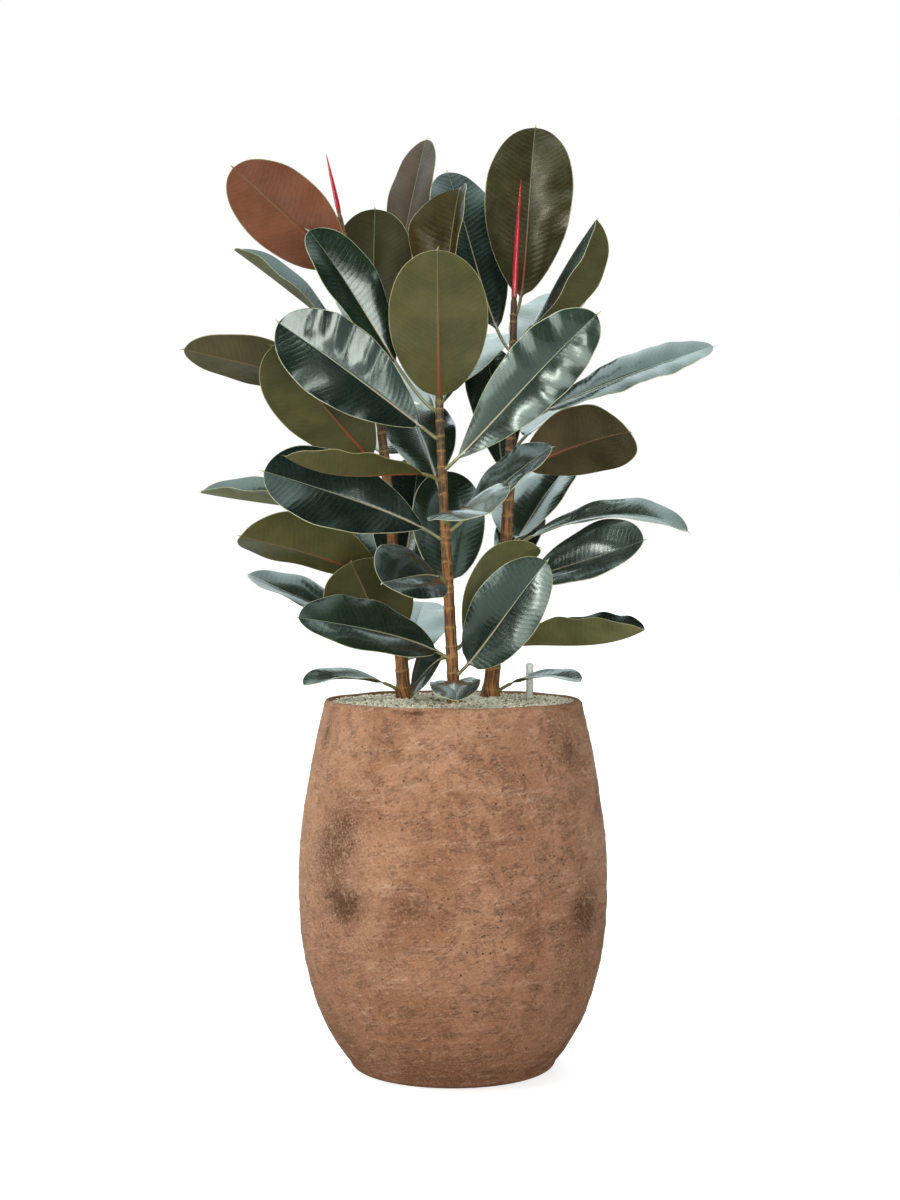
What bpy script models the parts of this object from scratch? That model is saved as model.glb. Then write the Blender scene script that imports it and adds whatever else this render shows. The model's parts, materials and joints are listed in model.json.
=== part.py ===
"""A rubber plant with three stems and fifty-one big leaves, in a barrel-shaped terracotta planter.

Metres, +Z up. The origin is the centre of the planter's flat underside, +X is to the right of
the plant's front and +Y goes to its back.
"""

import math

import bmesh
import bpy
import numpy as np

# The planter: a hand-trowelled barrel with a thin rim, filled to just under it
POT_HEIGHT = 0.481
POT_WALL = 0.008
POT_FLOOR = 0.020
FOOT_RADIUS = 0.122
FILL_HEIGHT = 0.476
POT_STEPS = 40
# The barrel's outer radius at each height, from the rim down
BARREL = (
    (0.477, 0.1680),
    (0.450, 0.1735),
    (0.414, 0.1820),
    (0.356, 0.1920),
    (0.297, 0.1990),
    (0.238, 0.2012),
    (0.179, 0.1990),
    (0.140, 0.1930),
    (0.101, 0.1830),
    (0.061, 0.1680),
    (0.030, 0.1500),
    (0.010, 0.1350),
)

# The water gauge: a thin tube that stands in the granulate near the back right of the rim
GAUGE_PLACE = (0.103, 0.070)
GAUGE_RADIUS = 0.0048
GAUGE_HEIGHT = 0.048

# Each stem: the points that it passes through, then its radius at the foot and at the top
STEMS = {
    "left": (
        ((-0.065, 0.055, 0.4763), (-0.080, 0.062, 0.68), (-0.105, 0.068, 0.90), (-0.152, 0.070, 1.125)),
        (0.0092, 0.0032),
    ),
    "centre": (
        ((0.002, -0.030, 0.4763), (-0.008, -0.028, 0.66), (-0.017, -0.015, 0.84), (-0.020, -0.002, 1.022)),
        (0.0080, 0.0036),
    ),
    "right": (
        ((0.050, 0.085, 0.4763), (0.072, 0.075, 0.70), (0.079, 0.060, 0.90), (0.081, 0.050, 1.01)),
        (0.0105, 0.0042),
    ),
}
STEM_SIDES = 12
STEM_RINGS = 14
FLARE_HEIGHT = 0.030
FLARE = 0.35

# The pointed sheath round each stem's next leaf: its length, how far its tip leans in x and y, and
# its radius
SHEATHS = {
    "left": (0.084, (-0.018, 0.010), 0.0032),
    "centre": (0.034, (0.002, 0.004), 0.0034),
    "right": (0.155, (0.009, -0.010), 0.0042),
}

# Clear space that parts which grow on or stand in one another keep
GAP = 0.0003

# Each leaf: height on its stem, place of its tip, blade width, turn of the blade about its own
# line in degrees, droop of the tip and fold of the halves in degrees, length of the leaf stalk,
# and how wedge-shaped its base is, from a broad 0.55 to a slim 1.1
LEAVES = {
    "left": (
        (1.045, (-0.287, -0.030, 1.171), 0.108, 55, 5, 6, 0.018, 0.58),
        (0.946, (-0.303, 0.140, 1.089), 0.066, -8, 2, 38, 0.040, 1.10),
        (0.955, (-0.105, 0.100, 1.140), 0.108, 10, 0, 8, 0.020, 0.75),
        (0.945, (-0.036, 0.200, 1.254), 0.074, -5, 0, 10, 0.090, 0.85),
        (0.905, (-0.130, 0.310, 1.095), 0.105, 10, 8, 8, 0.045, 0.80),
        (0.868, (-0.360, 0.020, 0.941), 0.096, 35, 5, 8, 0.030, 0.75),
        (0.795, (-0.118, 0.200, 0.838), 0.128, 15, 6, 8, 0.025, 0.70),
        (0.783, (-0.235, -0.050, 0.941), 0.119, 52, 5, 6, 0.020, 0.72),
        (0.703, (-0.350, 0.120, 0.755), 0.085, -16, 0, 36, 0.040, 0.85),
        (0.625, (-0.278, -0.050, 0.695), 0.116, 34, 8, 20, 0.022, 0.72),
        (0.620, (-0.045, 0.170, 0.808), 0.110, 10, 6, 8, 0.020, 0.65),
        (0.548, (-0.283, 0.110, 0.645), 0.082, -18, 0, 14, 0.035, 0.75),
        (0.538, (-0.134, -0.020, 0.663), 0.118, 40, 5, 6, 0.012, 0.68),
        (0.535, (-0.144, 0.200, 0.720), 0.105, 10, 6, 8, 0.030, 0.80),
        (0.512, (-0.040, 0.270, 0.602), 0.094, 5, 8, 8, 0.025, 0.65),
        (0.490, (-0.197, -0.020, 0.499), 0.060, -12, 22, 16, 0.020, 0.85),
    ),
    "centre": (
        (1.000, (0.010, 0.060, 1.160), 0.125, -25, 4, 28, 0.015, 0.80),
        (0.866, (0.051, 0.200, 0.979), 0.104, 0, 8, 8, 0.035, 0.78),
        (0.865, (-0.020, -0.130, 1.053), 0.128, 0, 4, 8, 0.010, 0.62),
        (0.855, (-0.188, -0.050, 1.088), 0.084, -68, 8, 20, 0.080, 0.90),
        (0.840, (-0.055, 0.250, 0.940), 0.110, -10, 10, 8, 0.040, 0.80),
        (0.820, (-0.225, -0.100, 0.965), 0.110, -90, 10, 8, 0.025, 0.90),
        (0.780, (0.183, -0.140, 0.972), 0.094, 95, 10, 8, 0.020, 1.00),
        (0.765, (-0.210, -0.170, 0.794), 0.074, 10, -26, 42, 0.025, 0.85),
        (0.745, (-0.065, 0.200, 0.880), 0.100, -10, 8, 8, 0.040, 0.80),
        (0.710, (0.045, -0.210, 0.720), 0.110, 25, 10, 10, 0.025, 0.80),
        (0.700, (0.130, -0.050, 0.810), 0.085, 35, 8, 12, 0.020, 0.80),
        (0.690, (-0.245, -0.090, 0.777), 0.115, -65, 8, 8, 0.025, 0.95),
        (0.635, (-0.090, -0.150, 0.635), 0.105, -42, 10, 10, 0.015, 0.75),
        (0.625, (-0.008, 0.100, 0.786), 0.098, 5, 6, 8, 0.015, 0.58),
        (0.548, (0.115, -0.030, 0.680), 0.100, -35, 48, 8, 0.015, 0.62),
        (0.537, (-0.199, -0.120, 0.592), 0.090, -50, 10, 10, 0.015, 0.70),
        (0.515, (0.120, -0.120, 0.665), 0.094, 100, 6, 10, 0.020, 0.62),
        (0.534, (-0.057, 0.033, 0.491), 0.074, -60, 8, 8, 0.012, 0.70),
        (0.500, (0.005, -0.170, 0.490), 0.066, 5, 12, 14, 0.015, 0.80),
    ),
    "right": (
        (0.985, (0.113, 0.130, 1.257), 0.121, 14, 4, 8, 0.035, 0.75),
        (0.950, (0.189, -0.010, 1.108), 0.106, -12, 5, -57, 0.028, 0.66),
        (0.940, (-0.010, 0.170, 1.203), 0.100, -20, 4, 8, 0.040, 0.80),
        (0.917, (0.172, 0.275, 1.050), 0.108, -5, 6, 8, 0.040, 0.80),
        (0.838, (0.352, 0.050, 0.948), 0.095, 30, 6, 4, 0.045, 0.72),
        (0.807, (0.204, 0.298, 0.895), 0.106, -15, 10, 8, 0.045, 0.85),
        (0.772, (0.227, -0.080, 0.826), 0.106, -50, 20, 6, 0.022, 0.74),
        (0.755, (0.044, 0.200, 0.968), 0.086, 8, 6, 8, 0.035, 0.88),
        (0.680, (0.158, 0.150, 0.790), 0.110, 0, 8, 8, 0.015, 0.66),
        (0.678, (0.312, 0.000, 0.697), 0.078, 22, 42, 12, 0.030, 0.75),
        (0.664, (0.122, 0.330, 0.800), 0.090, -15, 12, 10, 0.040, 0.80),
        (0.626, (0.110, 0.250, 0.733), 0.070, 0, 8, 8, 0.030, 0.80),
        (0.620, (0.248, -0.060, 0.690), 0.096, 56, -3, 14, 0.030, 0.95),
        (0.541, (0.250, -0.050, 0.576), 0.106, 2, -20, 46, 0.030, 0.60),
        (0.535, (0.115, 0.290, 0.595), 0.090, -15, 12, 8, 0.030, 0.80),
        (0.486, (0.168, -0.020, 0.504), 0.050, 12, 25, 10, 0.025, 0.85),
    ),
}
# Shares of the stalk and of the blade at which a leaf's cross sections stand
STALK_RINGS = (0.0, 0.25, 0.75)
BLADE_RINGS = (0.0, 0.06, 0.17, 0.32, 0.50, 0.68, 0.83, 0.94, 1.0)
STALK_RADIUS = 0.0022
STALK_RISE = 35
# How blunt a blade's end is: a power under 1, smaller for a blunter end
BLUNTNESS = 0.52
# A blade's thickness at its midrib, as a share of its length
LEAF_THICKNESS = 1 / 75

UP = np.array((0.0, 0.0, 1.0))


def unit(vector):
    return vector / np.linalg.norm(vector)


def turned(vector, axis, degrees):
    """The vector turned about a unit axis."""
    angle = math.radians(degrees)
    return (
        vector * math.cos(angle)
        + np.cross(axis, vector) * math.sin(angle)
        + axis * (axis @ vector) * (1 - math.cos(angle))
    )


def stem_point(stem, z):
    """The stem's centre at height z, on a smooth curve through its named points."""
    points = np.array(STEMS[stem][0])
    heights = points[:, 2]
    slopes = np.gradient(points, heights, axis=0)
    i = min(max(int(np.searchsorted(heights, z)) - 1, 0), len(points) - 2)
    step = heights[i + 1] - heights[i]
    t = (z - heights[i]) / step
    return (
        points[i] * (2 * t**3 - 3 * t**2 + 1)
        + slopes[i] * step * (t**3 - 2 * t**2 + t)
        + points[i + 1] * (3 * t**2 - 2 * t**3)
        + slopes[i + 1] * step * (t**3 - t**2)
    )


def stem_axis(stem, z):
    return unit(stem_point(stem, z + 0.004) - stem_point(stem, z - 0.004))


def stem_radius(stem, z):
    """An even taper from foot to top, with the roots' flare at the foot."""
    points, (low, high) = STEMS[stem]
    foot, top = points[0][2], points[-1][2]
    share = (z - foot) / (top - foot)
    flare = FLARE * max(0.0, 1 - (z - foot) / FLARE_HEIGHT) ** 2
    return (low + (high - low) * share) * (1 + flare)


def material(name, colour, roughness):
    made = bpy.data.materials.new(name)
    made.use_nodes = True
    shader = made.node_tree.nodes["Principled BSDF"]
    shader.inputs["Base Color"].default_value = (*colour, 1.0)
    shader.inputs["Roughness"].default_value = roughness
    shader.inputs["Metallic"].default_value = 0.0
    return made


def tube(name, rings, parent, shade, origin):
    """A closed solid through the rings, each a list of points in the same order round it."""
    mesh = bpy.data.meshes.new(name)
    bm = bmesh.new()
    loops = [[bm.verts.new(point - origin) for point in ring] for ring in rings]
    for low, high in zip(loops, loops[1:]):
        for i in range(len(low)):
            j = (i + 1) % len(low)
            bm.faces.new((low[i], low[j], high[j], high[i]))
    bm.faces.new(loops[0][::-1])
    bm.faces.new(loops[-1])
    bmesh.ops.recalc_face_normals(bm, faces=bm.faces)
    bm.to_mesh(mesh)
    bm.free()
    mesh.shade_smooth()
    mesh.set_sharp_from_angle(angle=math.radians(50))
    obj = bpy.data.objects.new(name, mesh)
    bpy.context.collection.objects.link(obj)
    obj.location = origin
    obj.parent = parent
    mesh.materials.append(shade)
    return obj


def round_ring(centre, axis, radius, sides, start=np.array((1.0, 0.0, 0.0))):
    first = unit(start - axis * (start @ axis))
    second = np.cross(axis, first)
    angles = [2 * math.pi * k / sides for k in range(sides)]
    return [centre + (first * math.cos(a) + second * math.sin(a)) * radius for a in angles]


def turned_solid(name, profile, parent, shade, place=(0.0, 0.0)):
    """A profile of (radius, height) points, spun round an upright axis at the place."""
    mesh = bpy.data.meshes.new(name)
    edges = [(i, i + 1) for i in range(len(profile) - 1)]
    mesh.from_pydata([(radius, 0.0, height) for radius, height in profile], edges, [])
    obj = bpy.data.objects.new(name, mesh)
    bpy.context.collection.objects.link(obj)
    obj.location = (*place, 0.0)
    obj.parent = parent
    spin = obj.modifiers.new("Spin", "SCREW")
    spin.axis = "Z"
    spin.angle = 2 * math.pi
    spin.steps = spin.render_steps = POT_STEPS if profile[1][0] > 0.02 else 16
    spin.use_merge_vertices = True
    spin.merge_threshold = 0.0001
    spin.use_smooth_shade = True
    mesh.materials.append(shade)
    return obj


def make_pot(plant):
    """The planter's shell: up its inner wall, over the rounded rim and down to the flat foot."""
    inner = [(radius - POT_WALL, height) for height, radius in BARREL if height > POT_FLOOR + 0.02]
    rim = BARREL[0][1]
    profile = [(0.0, POT_FLOOR), (0.136, POT_FLOOR)]
    profile += inner[::-1]
    profile += [(rim - POT_WALL + 0.0015, POT_HEIGHT), (rim - 0.002, POT_HEIGHT)]
    profile += [(radius, height) for height, radius in BARREL]
    profile += [(FOOT_RADIUS, 0.0), (0.0, 0.0)]
    turned_solid("pot", profile, plant, material("Terracotta", (0.36, 0.17, 0.10), 0.85))


def make_fill(plant):
    """The filling of soil under a level top of pale granulate, which takes up the whole inside."""
    wall = [
        (radius - POT_WALL - GAP, height)
        for height, radius in BARREL
        if POT_FLOOR + 0.02 < height < FILL_HEIGHT
    ]
    profile = [(0.0, FILL_HEIGHT), (0.1595, FILL_HEIGHT)]
    profile += wall
    profile += [(0.1355, POT_FLOOR + GAP), (0.0, POT_FLOOR + GAP)]
    turned_solid("granulate", profile, plant, material("Granulate", (0.55, 0.54, 0.46), 0.90))


def make_gauge(plant):
    foot = FILL_HEIGHT + GAP
    profile = (
        (0.0, foot + GAUGE_HEIGHT),
        (GAUGE_RADIUS, foot + GAUGE_HEIGHT),
        (GAUGE_RADIUS + 0.0006, foot + GAUGE_HEIGHT - 0.001),
        (GAUGE_RADIUS + 0.0006, foot + GAUGE_HEIGHT - 0.005),
        (GAUGE_RADIUS, foot + GAUGE_HEIGHT - 0.0055),
        (GAUGE_RADIUS, foot),
        (0.0, foot),
    )
    shade = material("Gauge tube", (0.85, 0.86, 0.84), 0.25)
    turned_solid("water_gauge", profile, plant, shade, GAUGE_PLACE)


def make_stem(stem, plant):
    """A tapering stem from its flared foot on the granulate to its growing tip."""
    points = STEMS[stem][0]
    foot, top = points[0][2], points[-1][2]
    heights = [foot, foot + FLARE_HEIGHT / 3, foot + FLARE_HEIGHT * 2 / 3]
    heights += list(np.linspace(foot + FLARE_HEIGHT, top, STEM_RINGS - 3))
    rings = []
    for z in heights:
        axis = UP if z in (foot, top) else stem_axis(stem, z)
        rings.append(round_ring(stem_point(stem, z), axis, stem_radius(stem, z), STEM_SIDES))
    shade = material(f"Bark {stem}", (0.25, 0.13, 0.06), 0.75)
    tube(f"stem_{stem}", rings, plant, shade, stem_point(stem, foot))


def make_sheath(stem, plant):
    """The rolled pointed sheath that stands on the stem's tip."""
    length, lean, radius = SHEATHS[stem]
    top = STEMS[stem][0][-1][2]
    start = stem_point(stem, top) + UP * GAP
    end = start + np.array((*lean, math.sqrt(length**2 - lean[0] ** 2 - lean[1] ** 2)))
    grows = stem_axis(stem, top)
    bulge = ((0.0, 0.9), (0.12, 1.0), (0.35, 0.92), (0.6, 0.68), (0.82, 0.38), (1.0, 0.08))
    rings = []
    for share, size in bulge:
        straight = start + (end - start) * share
        centre = straight + (grows * length - (end - start)) * share * (1 - share) * 0.6
        axis = UP if share == 0 else unit(end - start)
        rings.append(round_ring(centre, axis, radius * size, 8))
    shade = material(f"Sheath {stem}", (0.62, 0.04, 0.06), 0.35)
    tube(f"sheath_{stem}", rings, plant, shade, start)


def half_width(share, width, base):
    """Half the blade's width at a share of its length: a wedge at the base, then a round end."""
    widest = base / (base + BLUNTNESS)
    body = min(share / 0.97, 1.0)
    oval = (body / widest) ** base * ((1 - body) / (1 - widest)) ** BLUNTNESS
    return max(width / 2 * oval, 0.0016 * min(1.0, max(0.25, (1 - share) / 0.05)))


def leaf_line(stem, height, tip, turn, droop):
    """Points along the leaf from the stem's bark to its tip, with the blade's facing on the way."""
    node = stem_point(stem, height)
    tip = np.array(tip)
    heading = unit((tip - node) * (1, 1, 0))
    axis = stem_axis(stem, height)
    outward = unit(heading - axis * (heading @ axis))
    start = node + outward * (stem_radius(stem, height) + GAP)
    chord = unit(tip - start)
    span = np.linalg.norm(tip - start)
    pitch = math.atan2(chord[2], math.hypot(chord[0], chord[1]))
    facing = unit(UP * math.cos(pitch) - heading * math.sin(pitch))
    facing = turned(facing, chord, turn)
    rise = math.radians(STALK_RISE)
    leaves_stem = heading * math.cos(rise) + UP * math.sin(rise)
    arch = math.radians(droop)
    reaches_tip = chord * math.cos(arch) - facing * math.sin(arch)
    a = start
    b = start + leaves_stem * span * 0.20
    c = tip - reaches_tip * span * 0.40
    shares = np.linspace(0, 1, 200)[:, None]
    line = a * (1 - shares) ** 3 + 3 * b * shares * (1 - shares) ** 2
    line = line + 3 * c * shares**2 * (1 - shares) + tip * shares**3
    return line, facing, outward


def along(line, distance):
    """The point and the direction at a distance along the line."""
    steps = np.linalg.norm(np.diff(line, axis=0), axis=1)
    travelled = np.concatenate([[0], np.cumsum(steps)])
    place = [np.interp(distance, travelled, line[:, k]) for k in range(3)]
    i = min(int(np.searchsorted(travelled, distance, side="right")) - 1, len(line) - 2)
    return np.array(place), unit(line[i + 1] - line[i]), travelled[-1]


def make_leaf(name, stem, row, plant, shade):
    """One leaf as a single tube: a round stalk that flattens into a blade with a thick midrib."""
    height, tip, width, turn, droop, fold, stalk, base = row
    line, facing, outward = leaf_line(stem, height, tip, turn, droop)
    length = along(line, 0.0)[2]
    blade = length - stalk
    thick = blade * LEAF_THICKNESS
    rings = []
    for share in STALK_RINGS:
        centre, axis, _ = along(line, stalk * share)
        axis = outward if share == 0 else axis
        normal = unit(facing - axis * (facing @ axis))
        side = np.cross(axis, normal)
        angles = [math.pi - math.pi * k / 4 for k in range(8)]
        rings.append(
            [centre + (side * math.cos(a) + normal * math.sin(a)) * STALK_RADIUS for a in angles]
        )
    for share in BLADE_RINGS:
        centre, axis, _ = along(line, stalk + blade * share)
        normal = unit(facing - axis * (facing @ axis))
        side = np.cross(axis, normal)
        half = max(half_width(share, width, base), STALK_RADIUS if share == 0 else 0.0)
        body = thick * min(1.0, half / 0.012) if share > 0.5 else thick
        body = max(body, 0.0012)
        across = half * math.cos(math.radians(fold))
        lift = half * math.sin(math.radians(fold))
        section = (
            (-1.0, 1.0, 0.0),
            (-0.5, 0.5, 0.40),
            (0.0, 0.0, 0.45),
            (0.5, 0.5, 0.40),
            (1.0, 1.0, 0.0),
            (0.5, 0.5, -0.40),
            (0.0, 0.0, -0.55),
            (-0.5, 0.5, -0.40),
        )
        rings.append(
            [centre + side * across * u + normal * (lift * v + body * w) for u, v, w in section]
        )
    tube(name, rings, plant, shade, rings[0][0])


def main():
    for old in list(bpy.data.objects):
        bpy.data.objects.remove(old, do_unlink=True)
    plant = bpy.data.objects.new("plant", None)
    bpy.context.collection.objects.link(plant)
    make_pot(plant)
    make_fill(plant)
    make_gauge(plant)
    for stem, rows in LEAVES.items():
        make_stem(stem, plant)
        make_sheath(stem, plant)
        for number, row in enumerate(rows, 1):
            name = f"leaf_{stem}_{number:02d}"
            shade = material(f"Leaf {stem} {number}", (0.045, 0.075, 0.065), 0.30)
            make_leaf(name, stem, row, plant, shade)


main()
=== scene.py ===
"""The looks of a potted rubber plant: glossy leaves on three ringed stems, in a trowelled planter.

Metres, +Z up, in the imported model's frame: the origin is the centre of the planter's flat underside,
+X is to the right of the plant's front and +Y goes to its back.
"""

import json
import random
from math import atan2, cos, exp, hypot, pi, radians, sin, sqrt, tau

import bmesh
import bpy
import numpy as np
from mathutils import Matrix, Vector, noise


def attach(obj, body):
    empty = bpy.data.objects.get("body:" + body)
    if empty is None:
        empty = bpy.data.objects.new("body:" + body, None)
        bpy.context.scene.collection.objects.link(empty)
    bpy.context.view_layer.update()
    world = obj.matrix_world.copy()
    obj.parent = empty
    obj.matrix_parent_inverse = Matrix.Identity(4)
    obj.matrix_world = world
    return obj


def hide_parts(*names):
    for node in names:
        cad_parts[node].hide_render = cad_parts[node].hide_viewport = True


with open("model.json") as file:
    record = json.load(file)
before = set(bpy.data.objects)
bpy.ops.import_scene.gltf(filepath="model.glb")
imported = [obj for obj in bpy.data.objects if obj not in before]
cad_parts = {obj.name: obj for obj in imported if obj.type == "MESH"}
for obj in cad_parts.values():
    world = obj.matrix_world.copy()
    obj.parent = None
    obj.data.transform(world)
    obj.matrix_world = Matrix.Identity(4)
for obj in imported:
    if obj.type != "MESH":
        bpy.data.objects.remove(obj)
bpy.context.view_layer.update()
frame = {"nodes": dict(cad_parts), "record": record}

# The view: the photograph's camera, level with the crown
CAMERA_PLACE = (-0.004, -2.7, 0.681)
CAMERA_DOWN = 1.5
CAMERA_LENS = 61.95
CAMERA_SENSOR = 36.0

# The surround: how bright it is above the plant, behind it and everywhere else, where each bright
# part starts and is full, how the upper one leans to the left and the back, and the tint
SKY_ABOVE = 2.7
SKY_BEHIND = 1.8
SKY_ELSEWHERE = 0.035
SKY_ABOVE_FROM = (0.55, 0.95)
SKY_BEHIND_FROM = (0.5, 0.95)
SKY_BEHIND_UP = (0.02, 0.3)
SKY_LEAN = (-0.22, 0.3)
SKY_TINT = (0.78, 0.93, 0.94, 1.0)

# Soft boxes: place, aim, width and height, power and tint
CROWN = (0.0, 0.0, 0.8)
LIGHTS = {
    "Left strip": ((-2.15, -1.35, 0.9), CROWN, (1.1, 2.0), 24.0, (0.96, 1.0, 0.95)),
    "Left highlight": ((-2.35, -1.08, 1.18), CROWN, (0.22, 1.0), 11.0, (0.98, 1.0, 0.94)),
    "High left light": ((-1.61, -1.35, 2.33), CROWN, (0.5, 0.9), 13.0, (0.98, 1.0, 0.93)),
    "Right strip": ((1.6, -2.15, 0.9), CROWN, (0.3, 1.9), 14.0, (0.96, 1.0, 0.96)),
    "Front fill": ((0.6, -3.35, 0.75), (0.0, 0.0, 0.5), (1.5, 1.3), 54.0, (1.0, 0.98, 0.95)),
}

# The planter: a hand-trowelled barrel with a thin rim, filled to just under it
POT_HEIGHT = 0.481
POT_WALL = 0.008
POT_FLOOR = 0.02
INSIDE_FLOOR_RADIUS = 0.136
FOOT_RADIUS = 0.122
FILL_HEIGHT = 0.476
FILL_RADIUS = 0.159
# The outside of its wall: height and radius
BARREL = (
    (0.477, 0.168),
    (0.45, 0.1735),
    (0.414, 0.182),
    (0.356, 0.192),
    (0.297, 0.199),
    (0.238, 0.2012),
    (0.179, 0.199),
    (0.14, 0.193),
    (0.101, 0.183),
    (0.061, 0.168),
    (0.03, 0.15),
    (0.01, 0.135),
)
POT_STEPS = 288
POT_RINGS = 170

# Marks on the planter's wall: degrees round from its front, height, reach round, reach up, strength
STAINS = (
    (-52, 0.285, 0.05, 0.05, 0.52),
    (-42, 0.234, 0.032, 0.022, 0.95),
    (-15, 0.238, 0.034, 0.024, 0.5),
    (-43, 0.332, 0.034, 0.045, 0.45),
    (-66, 0.44, 0.016, 0.03, 0.55),
    (-16, 0.474, 0.022, 0.006, 0.9),
    (54, 0.425, 0.02, 0.026, 0.6),
    (56, 0.22, 0.034, 0.036, 0.85),
    (46, 0.14, 0.03, 0.04, 0.35),
    (0, 0.02, 0.09, 0.03, 0.3),
    (95, 0.3, 0.04, 0.05, 0.55),
    (140, 0.18, 0.05, 0.03, 0.7),
    (175, 0.35, 0.04, 0.026, 0.6),
    (215, 0.26, 0.045, 0.04, 0.65),
    (262, 0.15, 0.035, 0.03, 0.5),
)
# Dents and trowel ridges, where a depth under zero stands proud
DENTS = (
    (-20, 0.4715, 0.014, 0.005, 0.0022),
    (5, 0.083, 0.045, 0.003, -0.0016),
    (4, 0.077, 0.05, 0.003, 0.0014),
    (54, 0.432, 0.006, 0.02, 0.002),
    (47, 0.425, 0.004, 0.016, 0.0016),
    (-8, 0.448, 0.018, 0.004, 0.0012),
    (-30, 0.276, 0.012, 0.004, 0.0012),
    (20, 0.255, 0.03, 0.003, 0.001),
    (-42, 0.19, 0.026, 0.003, 0.0012),
    (30, 0.165, 0.006, 0.006, 0.0014),
    (120, 0.23, 0.04, 0.004, 0.0014),
    (165, 0.12, 0.05, 0.003, -0.0014),
    (200, 0.4, 0.02, 0.005, 0.0016),
    (250, 0.32, 0.03, 0.004, 0.0014),
)
# The radius that turns those degrees into a reach round the wall, and the stain inside the planter
MARKS_RADIUS = 0.19
INSIDE_STAIN = 0.2

# The trowel's strokes: how fine they are along and across, their turn, and their share of the relief
CLAY_STROKES = (
    (14.0, 80.0, (0.0, 0.0, 0.0), 0.8),
    (30.0, 260.0, (0.05, 0.1, 0.0), 0.6),
    (36.0, 300.0, (0.1, 0.55, 0.0), 0.7),
    (36.0, 280.0, (-0.1, -0.95, 0.0), 0.5),
)
CLAY = (190, 139, 108)
CLAY_DARK = (138, 88, 58)
CLAY_PALE = (206, 164, 138)
CLAY_STAIN = (80, 47, 24)
CLAY_PIT = (60, 40, 28)

# Loose granules on the fill
GRANULE_SIZE = 0.0062
GRANULE_SPACING = 0.004

# The water gauge near the back right of the rim
GAUGE_PLACE = np.array((0.103, 0.07, 0.0))
GAUGE_RADIUS = 0.0048
GAUGE_HEIGHT = 0.048
GAUGE_STEPS = 40

# Each stem: the points that it passes through, then its radius at the foot and at the top
STEMS = {
    "left": (
        ((-0.065, 0.055, 0.4763), (-0.08, 0.062, 0.68), (-0.105, 0.068, 0.9), (-0.152, 0.07, 1.125)),
        (0.0092, 0.0032),
    ),
    "centre": (
        ((0.002, -0.03, 0.4763), (-0.008, -0.028, 0.66), (-0.017, -0.015, 0.84), (-0.02, -0.002, 1.022)),
        (0.008, 0.0036),
    ),
    "right": (
        ((0.05, 0.085, 0.4763), (0.072, 0.075, 0.7), (0.079, 0.06, 0.9), (0.081, 0.05, 1.01)),
        (0.0105, 0.0042),
    ),
}
STEM_SIDES = 40
STEM_STEP = 0.0017
FLARE_HEIGHT = 0.03
FLARE = 0.35
# Ring scars: their spacing where no leaf stands, and how far and how wide they stand proud, with a
# wider swelling just under each
SCAR_SPACING = 0.021
SCAR_HEIGHT = 0.0007
SCAR_WIDTH = 0.0011
SWELLING_HEIGHT = 0.0004
SWELLING_WIDTH = 0.006

# The pointed sheath round each stem's next leaf: its length, how far its tip leans in x and y, and
# its radius, with the shares of that radius at shares of its length
SHEATHS = {
    "left": (0.084, (-0.018, 0.01), 0.0032),
    "centre": (0.034, (0.002, 0.004), 0.0034),
    "right": (0.155, (0.009, -0.01), 0.0042),
}
SHEATH_SIZES = (
    (0.0, 0.9), (0.12, 1.0), (0.35, 0.92), (0.6, 0.68), (0.82, 0.38), (0.97, 0.12), (1.0, 0.03)
)
SHEATH_SIDES = 28
SHEATH_RINGS = 90
GAP = 0.0003

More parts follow.
